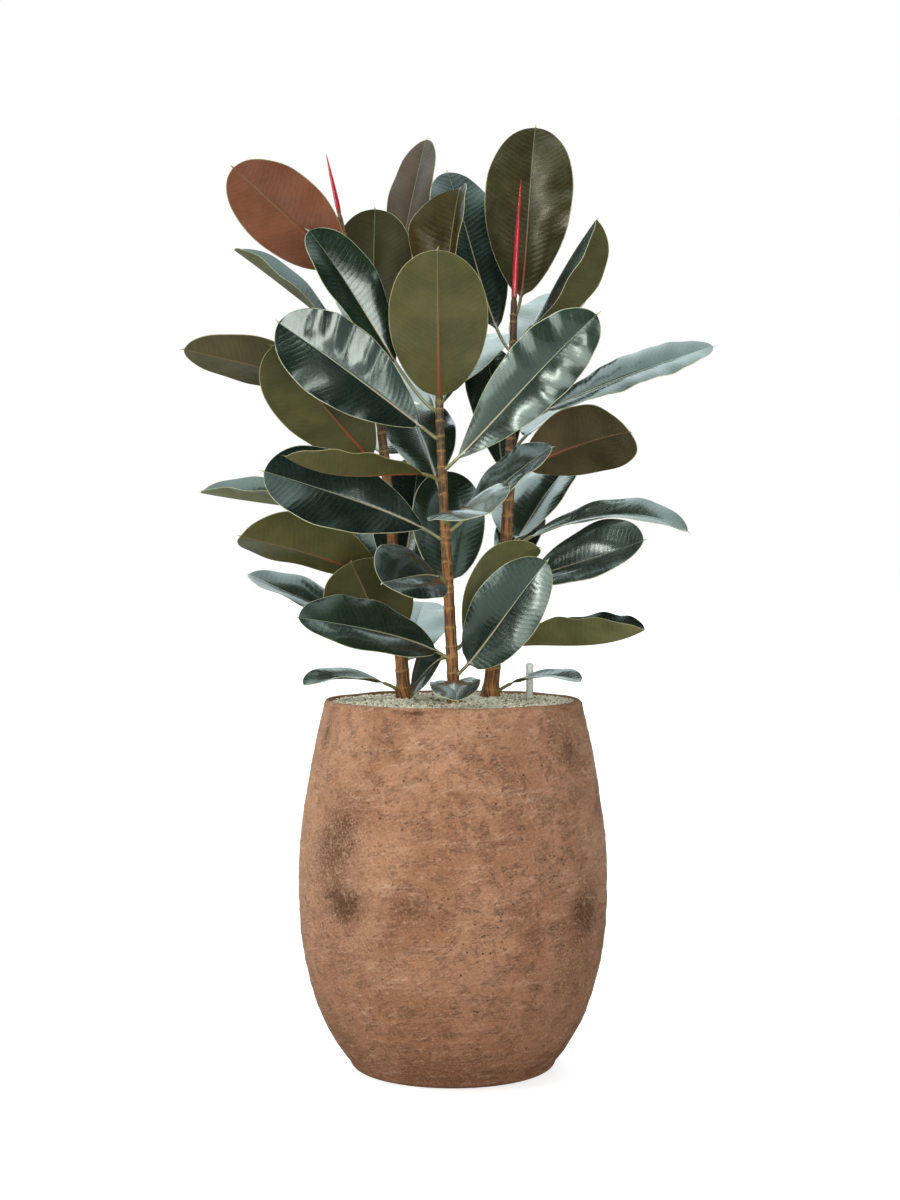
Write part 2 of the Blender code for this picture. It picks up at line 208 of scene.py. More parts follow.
# Each leaf: height on its stem, place of its tip, blade width, turn of the blade about its own
# line in degrees, droop of the tip and fold of the halves in degrees, length of the leaf stalk,
# and how wedge-shaped its base is, from a broad 0.55 to a slim 1.1
LEAVES = {
    "left": (
        (1.045, (-0.287, -0.03, 1.171), 0.108, 55, 5, 6, 0.018, 0.58),
        (0.946, (-0.303, 0.14, 1.089), 0.066, -8, 2, 38, 0.04, 1.1),
        (0.955, (-0.105, 0.1, 1.14), 0.108, 10, 0, 8, 0.02, 0.75),
        (0.945, (-0.036, 0.2, 1.254), 0.074, -5, 0, 10, 0.09, 0.85),
        (0.905, (-0.13, 0.31, 1.095), 0.105, 10, 8, 8, 0.045, 0.8),
        (0.868, (-0.36, 0.02, 0.941), 0.096, 35, 5, 8, 0.03, 0.75),
        (0.795, (-0.118, 0.2, 0.838), 0.128, 15, 6, 8, 0.025, 0.7),
        (0.783, (-0.235, -0.05, 0.941), 0.119, 52, 5, 6, 0.02, 0.72),
        (0.703, (-0.35, 0.12, 0.755), 0.085, -16, 0, 36, 0.04, 0.85),
        (0.625, (-0.278, -0.05, 0.695), 0.116, 34, 8, 20, 0.022, 0.72),
        (0.62, (-0.045, 0.17, 0.808), 0.11, 10, 6, 8, 0.02, 0.65),
        (0.548, (-0.283, 0.11, 0.645), 0.082, -18, 0, 14, 0.035, 0.75),
        (0.538, (-0.134, -0.02, 0.663), 0.118, 40, 5, 6, 0.012, 0.68),
        (0.535, (-0.144, 0.2, 0.72), 0.105, 10, 6, 8, 0.03, 0.8),
        (0.512, (-0.04, 0.27, 0.602), 0.094, 5, 8, 8, 0.025, 0.65),
        (0.49, (-0.197, -0.02, 0.499), 0.06, -12, 22, 16, 0.02, 0.85),
    ),
    "centre": (
        (1.000, (0.01, 0.06, 1.16), 0.125, -25, 4, 28, 0.015, 0.8),
        (0.866, (0.051, 0.2, 0.979), 0.104, 0, 8, 8, 0.035, 0.78),
        (0.865, (-0.02, -0.13, 1.053), 0.128, 0, 4, 8, 0.01, 0.62),
        (0.855, (-0.188, -0.05, 1.088), 0.084, -68, 8, 20, 0.08, 0.9),
        (0.84, (-0.055, 0.25, 0.94), 0.11, -10, 10, 8, 0.04, 0.8),
        (0.82, (-0.225, -0.1, 0.965), 0.11, -90, 10, 8, 0.025, 0.9),
        (0.78, (0.183, -0.14, 0.972), 0.094, 95, 10, 8, 0.02, 1.00),
        (0.765, (-0.21, -0.17, 0.794), 0.074, 10, -26, 42, 0.025, 0.85),
        (0.745, (-0.065, 0.2, 0.88), 0.1, -10, 8, 8, 0.04, 0.8),
        (0.71, (0.045, -0.21, 0.72), 0.11, 25, 10, 10, 0.025, 0.8),
        (0.7, (0.13, -0.05, 0.81), 0.085, 35, 8, 12, 0.02, 0.8),
        (0.69, (-0.245, -0.09, 0.777), 0.115, -65, 8, 8, 0.025, 0.95),
        (0.635, (-0.09, -0.15, 0.635), 0.105, -42, 10, 10, 0.015, 0.75),
        (0.625, (-0.008, 0.1, 0.786), 0.098, 5, 6, 8, 0.015, 0.58),
        (0.548, (0.115, -0.03, 0.68), 0.1, -35, 48, 8, 0.015, 0.62),
        (0.537, (-0.199, -0.12, 0.592), 0.09, -50, 10, 10, 0.015, 0.7),
        (0.515, (0.12, -0.12, 0.665), 0.094, 100, 6, 10, 0.02, 0.62),
        (0.534, (-0.057, 0.033, 0.491), 0.074, -60, 8, 8, 0.012, 0.7),
        (0.5, (0.005, -0.17, 0.49), 0.066, 5, 12, 14, 0.015, 0.8),
    ),
    "right": (
        (0.985, (0.113, 0.13, 1.257), 0.121, 14, 4, 8, 0.035, 0.75),
        (0.95, (0.189, -0.01, 1.108), 0.106, -12, 5, -57, 0.028, 0.66),
        (0.94, (-0.01, 0.17, 1.203), 0.1, -20, 4, 8, 0.04, 0.8),
        (0.917, (0.172, 0.275, 1.05), 0.108, -5, 6, 8, 0.04, 0.8),
        (0.838, (0.352, 0.05, 0.948), 0.095, 30, 6, 4, 0.045, 0.72),
        (0.807, (0.204, 0.298, 0.895), 0.106, -15, 10, 8, 0.045, 0.85),
        (0.772, (0.227, -0.08, 0.826), 0.106, -50, 20, 6, 0.022, 0.74),
        (0.755, (0.044, 0.2, 0.968), 0.086, 8, 6, 8, 0.035, 0.88),
        (0.68, (0.158, 0.15, 0.79), 0.11, 0, 8, 8, 0.015, 0.66),
        (0.678, (0.312, 0.000, 0.697), 0.078, 22, 42, 12, 0.03, 0.75),
        (0.664, (0.122, 0.33, 0.8), 0.09, -15, 12, 10, 0.04, 0.8),
        (0.626, (0.11, 0.25, 0.733), 0.07, 0, 8, 8, 0.03, 0.8),
        (0.62, (0.248, -0.06, 0.69), 0.096, 56, -3, 14, 0.03, 0.95),
        (0.541, (0.25, -0.05, 0.576), 0.106, 2, -20, 46, 0.03, 0.6),
        (0.535, (0.115, 0.29, 0.595), 0.09, -15, 12, 8, 0.03, 0.8),
        (0.486, (0.168, -0.02, 0.504), 0.05, 12, 25, 10, 0.025, 0.85),
    ),
}
STALK_RADIUS = 0.0022
STALK_RISE = 35
STALK_SUNK = 0.0014
STALK_RINGS = 9
# How far the pull of the stalk and of the tip reaches along a leaf, as shares of its span
STALK_PULL = 0.2
TIP_PULL = 0.4
# How blunt a blade's end is: a power under 1, smaller for a blunter end
BLUNTNESS = 0.52
DRIP_TIP_HALF = 0.0021
DRIP_TIP_SHARE = 0.055
BLADE_RINGS = 140
HALF_POINTS = 12
# Thickness of a blade beside its midrib and at its margin, and the width of the margin's bead
BLADE_THICK = 0.0012
MARGIN_THICK = 0.0008
MARGIN_BEAD = 0.0007
# The groove along the midrib above, and the ridge below with what it keeps at the tip
GROOVE_DEPTH = 0.0006
GROOVE_WIDTH = 0.0012
RIDGE_HEIGHT = (0.0021, 0.0002)
RIDGE_WIDTH = (0.0019, 0.0007)
# How far apart a blade's first points lie from the midrib, and the last ones from the margin
NEAR_MIDRIB = (0.0, 0.0008, 0.0018, 0.0034)
NEAR_MARGIN = 0.0016
WAVE_HEIGHT = 0.0016
RIPPLE_HEIGHT = 0.00004
VEIN_SPACING = 0.0074

# Ripples between the side veins that are deeper than the others', on the left and the right half
DEEP_RIPPLES = {
    "leaf_centre_07": (0.00005, 0.00005),
    "leaf_centre_17": (0.00034, 0.00034),
    "leaf_right_01": (0.00006, 0.00028),
}
# Broad waves that break a blade's shine into bands: where along the blade they start and end, their
# length, and their height on the left and the right half
BUCKLES = {
    "leaf_centre_06": (0.36, 0.9, 0.05, (0.0, 0.002)),
    "leaf_centre_07": (0.5, 1.00, 0.044, (0.0013, 0.0013)),
    "leaf_right_05": (0.15, 0.95, 0.034, (0.0006, 0.0006)),
    "leaf_left_08": (0.2, 0.9, 0.045, (0.0, 0.0006)),
    "leaf_right_01": (0.25, 0.95, 0.05, (0.0, 0.0005)),
}
# The arch across each half, for blades that are flatter than the others' 0.05 to 0.1
CAMBER = {"leaf_centre_06": 0.02, "leaf_centre_12": 0.03, "leaf_right_13": 0.17}

# The skins of leaves that aren't dark teal above and olive below. Five paler skins above are painted
# sheen
UPPER_SKINS = {
    "leaf_left_09": "dusty",
    "leaf_centre_06": "wet teal",
    "leaf_centre_07": "wet grey",
    "leaf_centre_10": "dusty",
    "leaf_right_10": "dusty",
    "leaf_right_13": "dusty",
    "leaf_left_01": "copper",
    "leaf_left_03": "dull olive",
    "leaf_left_04": "plum",
    "leaf_centre_01": "gold",
    "leaf_right_01": "bronze",
}
LOWER_SKINS = {
    "leaf_left_01": "copper",
    "leaf_left_03": "shaded olive",
    "leaf_left_04": "plum",
    "leaf_left_09": "pale olive",
    "leaf_left_10": "olive 2",
    "leaf_left_13": "green olive",
    "leaf_centre_01": "gold",
    "leaf_centre_08": "olive 2",
    "leaf_centre_15": "pale olive",
    "leaf_right_01": "bronze",
    "leaf_right_14": "pale olive",
}
# Grown leaves from above: the colours of the blade and of its shade
GROWN_SKINS = {
    "teal 1": ((28, 42, 30), (16, 26, 20)),
    "teal 2": ((30, 41, 34), (16, 25, 22)),
    "teal 3": ((32, 46, 30), (18, 29, 19)),
    # A paler base that is painted sheen, for blades that shine pale
    "dusty": ((64, 77, 67), (36, 46, 40)),
    "wet teal": ((26, 40, 30), (15, 24, 19)),
    # A paler base that is painted sheen, for the wet blade that shines grey
    "wet grey": ((44, 56, 46), (28, 37, 31)),
}
# Young leaves from above: blade, shade, side veins, relief, least roughness and extra gloss
YOUNG_SKINS = {
    "bronze": ((56, 53, 26), (43, 38, 18), (88, 84, 54), 0.1, 0.28, 0.3),
    "gold": ((56, 43, 3), (34, 25, 2), (84, 64, 16), 0.06, 0.18, -0.1),
    "copper": ((112, 62, 42), (84, 50, 34), (130, 80, 56), 0.06, 0.22, 0.15),
    "plum": ((76, 60, 48), (60, 50, 40), (88, 75, 62), 0.06, 0.36, 0.0),
    "dull olive": ((52, 49, 27), (42, 39, 22), (64, 60, 36), 0.06, 0.36, 0.0),
}
# Every leaf from below: blade, shade and side veins
MATTE_SKINS = {
    "olive 1": ((80, 71, 40), (65, 57, 32), (97, 88, 56)),
    "olive 2": ((83, 78, 40), (68, 64, 32), (100, 94, 56)),
    "olive 3": ((78, 67, 41), (63, 53, 33), (94, 83, 56)),
    "pale olive": ((110, 108, 66), (92, 90, 50), (124, 120, 80)),
    "shaded olive": ((66, 61, 38), (54, 50, 32), (80, 75, 50)),
    "green olive": ((68, 65, 28), (54, 52, 22), (82, 80, 42)),
    "bronze": ((80, 72, 48), (64, 54, 38), (98, 90, 66)),
    "gold": ((104, 78, 36), (82, 60, 28), (122, 96, 54)),
    "copper": ((124, 72, 46), (104, 60, 36), (138, 86, 60)),
    "plum": ((84, 72, 62), (70, 60, 50), (102, 88, 78)),
}
# What a skin says where its table says nothing else, and what the lower skins say
PLAIN_SKIN = {
    "Blade": (30, 58, 46),
    "Shade": (18, 34, 30),
    "Vein": (70, 96, 80),
    "Rib": (112, 122, 96),
    "Rib base": (170, 150, 118),
    "Margin": (172, 172, 134),
    "Rib width": 0.0009,
    "Vein show": 0.11,
    "Relief": 0.09,
    "Smoothest": 0.17,
    "Roughest": 0.28,
}
LOWER_SKIN = {
    "Rib": (112, 88, 58),
    "Rib base": (138, 62, 42),
    "Margin": (150, 142, 100),
    "Rib width": 0.0014,
    "Vein show": 0.12,
    "Relief": 0.1,
    "Smoothest": 0.42,
    "Roughest": 0.58,
}
LEAF_STALK = (128, 120, 78)

EAST = np.array((1.0, 0.0, 0.0))
UP = np.array((0.0, 0.0, 1.0))
WHITE = (255, 255, 255)
ROOT = "root"


def unit(vectors):
    return vectors / np.linalg.norm(vectors, axis=-1, keepdims=True)


def smooth(value, low, high):
    """0 below low, 1 above high and an even S between them."""
    share = np.clip((value - low) / (high - low), 0.0, 1.0)
    return share * share * (3 - 2 * share)


def bell(value, width):
    return np.exp(-((value / width) ** 2))


def turned(vector, axis, degrees):
    """The vector turned about a unit axis."""
    angle = radians(degrees)
    return (
        vector * cos(angle)
        + np.cross(axis, vector) * sin(angle)
        + axis * (axis @ vector) * (1 - cos(angle))
    )


def spokes(axis, sides):
    """The angle and direction of each point of a ring square to the axis, from near +X onwards."""
    first = unit(EAST - axis * axis[0])
    second = np.cross(axis, first)
    angles = [tau * k / sides for k in range(sides)]
    return [(angle, first * cos(angle) + second * sin(angle)) for angle in angles]


def curve_through(points, heights, z):
    """The smooth curve through points that stand at rising heights, read at height z."""
    slopes = np.gradient(points, heights, axis=0)
    i = min(max(int(np.searchsorted(heights, z)) - 1, 0), len(points) - 2)
    step = heights[i + 1] - heights[i]
    t = (z - heights[i]) / step
    return (
        points[i] * (2 * t**3 - 3 * t**2 + 1)
        + slopes[i] * step * (t**3 - 2 * t**2 + t)
        + points[i + 1] * (3 * t**2 - 2 * t**3)
        + slopes[i + 1] * step * (t**3 - t**2)
    )


def stem_point(stem, z):
    points = np.array(STEMS[stem][0])
    return curve_through(points, points[:, 2], z)


def stem_axis(stem, z):
    return unit(stem_point(stem, z + 0.004) - stem_point(stem, z - 0.004))


def stem_radius(stem, z):
    """An even taper from foot to top, with the roots' flare at the foot."""
    points, (low, high) = STEMS[stem]
    foot, top = points[0][2], points[-1][2]
    share = (z - foot) / (top - foot)
    flare = FLARE * max(0.0, 1 - (z - foot) / FLARE_HEIGHT) ** 2
    return (low + (high - low) * share) * (1 + flare)


def half_width(shares, width, base):
    """Half the blade's width along its length: a wedge at the base, a round end and a drip tip."""
    widest = base / (base + BLUNTNESS)
    body = np.clip(shares / 0.97, 0.0, 1.0)
    oval = (body / widest) ** base * ((1 - body) / (1 - widest)) ** BLUNTNESS
    tip = DRIP_TIP_HALF * np.clip((1.003 - shares) / DRIP_TIP_SHARE, 0.0, 1.0) ** 0.8
    blunt = 2.5
    return ((width / 2 * oval) ** blunt + tip**blunt) ** (1 / blunt)


def leaf_line(stem, height, tip, turn, droop):
    """Points along the leaf from the stem's bark to its tip, with the blade's facing on the way."""
    node = stem_point(stem, height)
    tip = np.array(tip)
    heading = unit((tip - node) * (1, 1, 0))
    axis = stem_axis(stem, height)
    outward = unit(heading - axis * (heading @ axis))
    start = node + outward * (stem_radius(stem, height) + GAP)
    chord = unit(tip - start)
    span = np.linalg.norm(tip - start)
    pitch = atan2(chord[2], hypot(chord[0], chord[1]))
    facing = unit(UP * cos(pitch) - heading * sin(pitch))
    facing = turned(facing, chord, turn)
    rise = radians(STALK_RISE)
    leaves_stem = heading * cos(rise) + UP * sin(rise)
    arch = radians(droop)
    reaches_tip = chord * cos(arch) - facing * sin(arch)
    b = start + leaves_stem * span * STALK_PULL
    c = tip - reaches_tip * span * TIP_PULL
    shares = np.linspace(0, 1, 200)[:, None]
    line = start * (1 - shares) ** 3 + 3 * b * shares * (1 - shares) ** 2
    line = line + 3 * c * shares**2 * (1 - shares) + tip * shares**3
    return line, facing, outward


def colour(red, green, blue):
    """A base colour from the 0 to 255 values that a paint chart gives."""
    def linear(value):
        value = value / 255
        return value / 12.92 if value <= 0.04045 else ((value + 0.055) / 1.055) ** 2.4
    return (linear(red), linear(green), linear(blue), 1.0)


class Nodes:
    """Adds nodes to one tree and links their sockets."""

    def __init__(self, tree):
        self.tree = tree

    def put(self, socket, value):
        """Links or sets a socket. Three numbers on a colour socket are a paint chart's."""
        if isinstance(value, bpy.types.NodeSocket):
            self.tree.links.new(value, socket)
            return
        if socket.type == "RGBA" and len(value) == 3:
            value = colour(*value)
        socket.default_value = value

    def add(self, kind, sockets=None, **settings):
        """Adds a node with its settings and sockets, and gives back its outputs."""
        node = self.tree.nodes.new(kind)
        for name, value in settings.items():
            setattr(node, name, value)
        for name, value in (sockets or {}).items():
            self.put(node.inputs[name], value)
        return node.outputs

    def math(self, operation, *values):
        return self.add("ShaderNodeMath", dict(enumerate(values)), operation=operation)[0]

    def times(self, result, *others):
        for value in others:
            result = self.math("MULTIPLY", result, value)
        return result

    def plus(self, total, value, share=1.0):
        """The total and a share of the value."""
        return self.math("MULTIPLY_ADD", value, share, total)

    def step(self, value, low, high, start=0.0, end=1.0):
        """A soft step from start to end while the value goes from low to high."""
        sockets = {"Value": value, "From Min": low, "From Max": high, "To Min": start, "To Max": end}
        return self.add("ShaderNodeMapRange", sockets, interpolation_type="SMOOTHSTEP")["Result"]

    def mix(self, share, first, second):
        return self.add("ShaderNodeMix", {0: share, 6: first, 7: second}, data_type="RGBA")[2]

    def over(self, skin, layer, value, low, high, strength=1.0):
        """The skin with another colour laid over it, where the value goes from low to high."""
        return self.mix(self.step(value, low, high, 0.0, strength), skin, layer)

    def noise(self, place, scale, detail=2.0, roughness=0.5, distortion=0.0):
        sockets = {"Vector": place, "Scale": scale, "Detail": detail, "Roughness": roughness}
        return self.add("ShaderNodeTexNoise", {**sockets, "Distortion": distortion})["Fac"]

    def cells(self, place, scale):
        return self.add("ShaderNodeTexVoronoi", {"Vector": place, "Scale": scale})["Distance"]

    def stretched(self, place, scale, turn=(0.0, 0.0, 0.0)):
        """The place turned and then scaled, so that a pattern on it is drawn out in one direction."""
        if any(turn):
            place = self.add("ShaderNodeMapping", {"Vector": place, "Rotation": turn})["Vector"]
        return self.add("ShaderNodeMapping", {"Vector": place, "Scale": scale})["Vector"]

    def object_place(self):
        return self.add("ShaderNodeTexCoord")["Object"]

    def painted(self, name, output="Fac"):
        """An attribute that the piece's mesh holds."""
        return self.add("ShaderNodeAttribute", attribute_name=name)[output]

    def apart(self, vector):
        return self.add("ShaderNodeSeparateXYZ", {"Vector": vector})

    def seen(self):
        """1 where the camera looks straight at the surface."""
        return self.add("ShaderNodeLightPath")["Is Camera Ray"]


class Finish(Nodes):
    """The nodes of a new material, whose shader has these constants."""

    def __init__(self, name, **constants):
        self.material = bpy.data.materials.new(name)
        self.material.use_nodes = True
        super().__init__(self.material.node_tree)
        self.shader = self.tree.nodes["Principled BSDF"].inputs
        for label, value in constants.items():
            self.shader[label.replace("_", " ").title().replace("Ior", "IOR")].default_value = value

    def shade(self, skin, rough, height, bump):
        """The material, with this colour, roughness and relief."""
        self.put(self.shader["Base Color"], skin)
        self.put(self.shader["Roughness"], rough)
        relief = self.add("ShaderNodeBump", {"Height": height, "Distance": bump})
        self.put(self.shader["Normal"], relief["Normal"])
        return self.material


def group(name, kind, takes, gives):
    """A node group with named inputs and outputs, and the nodes to fill it with."""
    tree = bpy.data.node_groups.new(name, kind)
    for way, sockets in (("INPUT", takes), ("OUTPUT", gives)):
        for label, sort in sockets.items():
            tree.interface.new_socket(label, in_out=way, socket_type="NodeSocket" + sort)
    nodes = Nodes(tree)
    return nodes, nodes.add("NodeGroupInput")


def skin_group(name, values):
    """A group that makes a skin's colour, roughness and relief from colours and numbers like these."""
    takes = {label: "Color" if isinstance(value, tuple) else "Float" for label, value in values.items()}
    gives = {"Color": "Color", "Roughness": "Float", "Height": "Float"}
    return group(name, "ShaderNodeTree", takes, gives)


def skin_material(name, tree, values, bump, **constants):
    """A material whose skin comes from a group with these values."""
    nodes = Finish(name, **constants)
    return nodes.shade(*nodes.add("ShaderNodeGroup", values, node_tree=tree), bump)


def leaf_tree():
    """A leaf's skin: blade with side veins, midrib, thin pale margin, pale tip and stalk.

    The mesh holds leaf_place, in metres: across from the midrib, along from the blade's base and in
    from the margin. leaf_share runs from 0 at the blade's base to 1 at its tip, under 0 on the stalk.
    """
    nodes, given = skin_group("Leaf skin", PLAIN_SKIN)
    across_signed, along, margin = nodes.apart(nodes.painted("leaf_place", "Vector"))
    across = nodes.math("ABSOLUTE", across_signed)
    share = nodes.painted("leaf_share")
    spot = nodes.object_place()

    # Side veins leave the midrib at a steep angle and bend towards the tip
    bend = nodes.times(across, nodes.plus(0.3, across, 4.5))
    phase = nodes.math("DIVIDE", nodes.math("SUBTRACT", along, bend), VEIN_SPACING)
    phase = nodes.plus(phase, nodes.noise(spot, 38.0, 1.0), 1.1)
    phase = nodes.plus(phase, nodes.math("SIGN", across_signed), 0.23)
    swing = nodes.math("SINE", nodes.times(phase, tau))
    fine_swing = nodes.math("SINE", nodes.times(phase, 6 * pi))
    fine_line = nodes.step(fine_swing, 0.7, 1.0, 0.0, 0.35)
    clear_of_margin = nodes.step(margin, 0.001, 0.007)
    veins = nodes.math("MAXIMUM", nodes.step(swing, 0.8, 1.0), fine_line)
    veins = nodes.times(veins, clear_of_margin)

    # The blade, clouded from place to place
    clouds = nodes.noise(spot, 22.0, 4.0, 0.6)
    blade = nodes.over(given["Shade"], given["Blade"], clouds, 0.3, 0.72)
    grain = nodes.noise(spot, 900.0, 2.0, 0.7)
    blade = nodes.over(blade, given["Vein"], grain, 0.52, 0.75, 0.25)
    blade = nodes.mix(nodes.times(veins, given["Vein show"]), blade, given["Vein"])

    # The midrib narrows and pales towards the tip
    rib_edge = nodes.times(given["Rib width"], nodes.step(share, 0.0, 1.05, 1.5, 0.35))
    rib = nodes.step(nodes.math("DIVIDE", across, rib_edge), 0.55, 1.25, 1.0, 0.0)
    rib_colour = nodes.over(given["Rib base"], given["Rib"], share, 0.05, 0.75)
    skin = nodes.mix(rib, blade, rib_colour)

    # Pale margin line, pale drip tip and the stalk
    margin_reach = nodes.plus(0.0005, nodes.noise(spot, 160.0), 0.0009)
    at_margin = nodes.step(nodes.math("DIVIDE", margin, margin_reach), 0.6, 1.3, 1.0, 0.0)
    on_blade = nodes.step(share, -0.01, 0.02)
    pale = nodes.math("MAXIMUM", at_margin, nodes.step(share, 0.965, 0.985))
    pale = nodes.times(pale, on_blade)
    skin = nodes.mix(pale, skin, given["Margin"])
    skin = nodes.mix(on_blade, LEAF_STALK, skin)

    gloss = nodes.noise(spot, 60.0, 3.0)
    rough = nodes.step(gloss, 0.35, 0.7, given["Smoothest"], given["Roughest"])
    rough = nodes.plus(rough, nodes.math("MAXIMUM", pale, rib), 0.15)

    # Ripples between the side veins, pores and dimples
    height = nodes.times(nodes.plus(veins, swing, 0.5), clear_of_margin, given["Relief"])
    height = nodes.times(height, nodes.math("SUBTRACT", 1.0, rib))
    height = nodes.plus(height, nodes.noise(spot, 2200.0, 1.0), 0.03)
    height = nodes.plus(height, nodes.noise(spot, 180.0), 0.14)
    nodes.add("NodeGroupOutput", {"Color": skin, "Roughness": rough, "Height": height})
    return nodes.tree


def leaf_skins():
    """The upper and lower skins by name."""
    tree = leaf_tree()

    def skin(name, tones, values, bump, **constants):
        own = dict(zip(("Blade", "Shade", "Vein"), tones))
        return skin_material(name, tree, {**PLAIN_SKIN, **own, **values}, bump, **constants)

    upper, lower = {}, {}
    for name, tones in GROWN_SKINS.items():
        wet = {"Smoothest": 0.16, "Roughest": 0.22, "Relief": 0.05} if name.startswith("wet") else {}
        upper[name] = skin(
            f"Upper skin {name}",
            tones,
            wet,
            0.0006,
            specular_ior_level=0.75,
            specular_tint=(0.84, 1.0, 0.91, 1.0),
            coat_weight=0.3,
            coat_roughness=0.1,
        )
    for name, (*tones, relief, smoothest, gloss) in YOUNG_SKINS.items():
        values = {"Rib base": (150, 80, 55), "Relief": relief}
        values.update(Smoothest=smoothest, Roughest=smoothest + 0.12)
        upper[name] = skin(
            f"Upper skin {name}",
            tones,
            values,
            0.0006,
            specular_ior_level=0.25 + gloss,
            specular_tint=(1.0, 0.92, 0.7, 1.0),
            coat_weight=0.3 * max(gloss, 0.0),
            coat_roughness=0.14,
        )
    for name, tones in MATTE_SKINS.items():
        lower[name] = skin(f"Lower skin {name}", tones, LOWER_SKIN, 0.0005, specular_ior_level=0.3)
    return upper, lower


def in_scene(name, data):
    """A new object in the scene."""
    obj = bpy.data.objects.new(name, data)
    bpy.context.scene.collection.objects.link(obj)
    return obj


def mesh_object(name, points, faces, materials, face_materials=None):
    """A smooth-shaded mesh object at the origin."""
    mesh = bpy.data.meshes.new(name)
    mesh.from_pydata(points, [], faces)
    for material in materials:
        mesh.materials.append(material)
    if face_materials is not None:
        mesh.polygons.foreach_set("material_index", face_materials)
    mesh.shade_smooth()
    mesh.update()
    return in_scene(name, mesh)


def disc(name, segments, radius, height):
    """A flat round object that faces up."""
    bm = bmesh.new()
    bmesh.ops.create_circle(bm, cap_ends=True, segments=segments, radius=radius)
    bmesh.ops.translate(bm, verts=bm.verts, vec=(0, 0, height))
    mesh = bpy.data.meshes.new(name)
    bm.to_mesh(mesh)
    bm.free()
    return in_scene(name, mesh)


def recalculated(obj):
    """Turns every face outwards."""
    bm = bmesh.new()
    bm.from_mesh(obj.data)
    bmesh.ops.recalc_face_normals(bm, faces=bm.faces)
    bm.to_mesh(obj.data)
    bm.free()


def with_ends(rows, sides):
    """One row for each point of the rings, then the middle of the first and of the last ring."""
    rows = np.array(rows)
    return np.concatenate([rows, [rows[:sides].mean(axis=0), rows[-sides:].mean(axis=0)]])


def ring_piece(name, rings, sides, materials, face_materials=None, **painted):
    """A closed tube through rings of points, anticlockwise seen against its direction.

    Each painted attribute holds one value or vector for each of those points.
    """
    points = with_ends(rings, sides)
    start = len(rings)
    top = start - sides
    faces = []
    for low in range(0, top, sides):
        for j in range(sides):
            k = (j + 1) % sides
            faces.append((low + j, low + k, low + sides + k, low + sides + j))
    for j in range(sides):
        k = (j + 1) % sides
        faces.append((start, k, j))
        faces.append((start + 1, top + j, top + k))
    piece = mesh_object(name, points, faces, materials, face_materials)
    for label, rows in painted.items():
        values = with_ends(rows, sides).astype(np.float32)
        kind, field = ("FLOAT", "value") if values.ndim == 1 else ("FLOAT_VECTOR", "vector")
        attribute = piece.data.attributes.new(label, kind, "POINT")
        attribute.data.foreach_set(field, values.ravel())
    return piece


def settle(piece, slot, *nodes):
    """The piece rides on the plant's one body and stands for these nodes. The slot is not used."""
    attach(piece, ROOT)
    if nodes:
        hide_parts(*nodes)


def there_and_back(above, below):
    """Rows that run over a blade's upper side from left to right and back along its lower side."""
    return np.hstack([above, below[:, -2:0:-1]])


def blade_sheet(name, signed, half, along, t, fold, chance):
    """The height of a blade's middle layer, each half with its own waves, and the blade's twist."""
    amps = [chance.uniform(0.6, 1.5) for _ in range(2)]
    waves = [chance.uniform(0.055, 0.085) for _ in range(2)]
    starts = [chance.uniform(0, 6.28) for _ in range(2)]
    camber = CAMBER.get(name, chance.uniform(0.05, 0.1))
    twist = radians(chance.uniform(-4, 4))
    vein_wave = chance.uniform(0.9, 1.1) * VEIN_SPACING
    depths = DEEP_RIPPLES.get(name, (RIPPLE_HEIGHT, RIPPLE_HEIGHT))
    low, high, buckle_wave, buckles = BUCKLES.get(name, (0.0, 1.0, 1.0, (0.0, 0.0)))

    left = signed < 0
    out = np.abs(signed)
    v = out / half
    soft = 0.004
    fold_lift = (np.sqrt(out**2 + soft**2) - soft) * sin(radians(fold))
    arch = camber * half * 4 * v * (1 - 0.85 * v) * np.sin(pi * np.minimum(t * 1.05, 1))
    inside = np.clip(np.sin(pi * t), 0, 1) ** 0.7
    turns = (along - 0.35 * out) / np.where(left, *waves)
    sway = np.where(left, *amps) * np.sin(tau * turns + np.where(left, *starts))
    sway = sway * WAVE_HEIGHT * v**1.6 * inside * np.minimum(1, half / 0.03)
    bend = out * (0.3 + 4.5 * out)
    ripple = np.sin(tau * (along - bend) / vein_wave + np.where(left, -1, 1))
    ripple = ripple * np.where(left, *depths) * inside
    ripple = ripple * smooth(out, 0.002, 0.01) * smooth(half - out, 0.001, 0.006)
    buckle = np.where(left, *buckles) * np.sin(tau * (along - 0.5 * bend) / buckle_wave)
    buckle = buckle * smooth(t, low, low + 0.1) * smooth(t, high, high - 0.1) * smooth(out, 0.004, 0.02)
    return fold_lift + arch + sway + ripple + buckle, twist


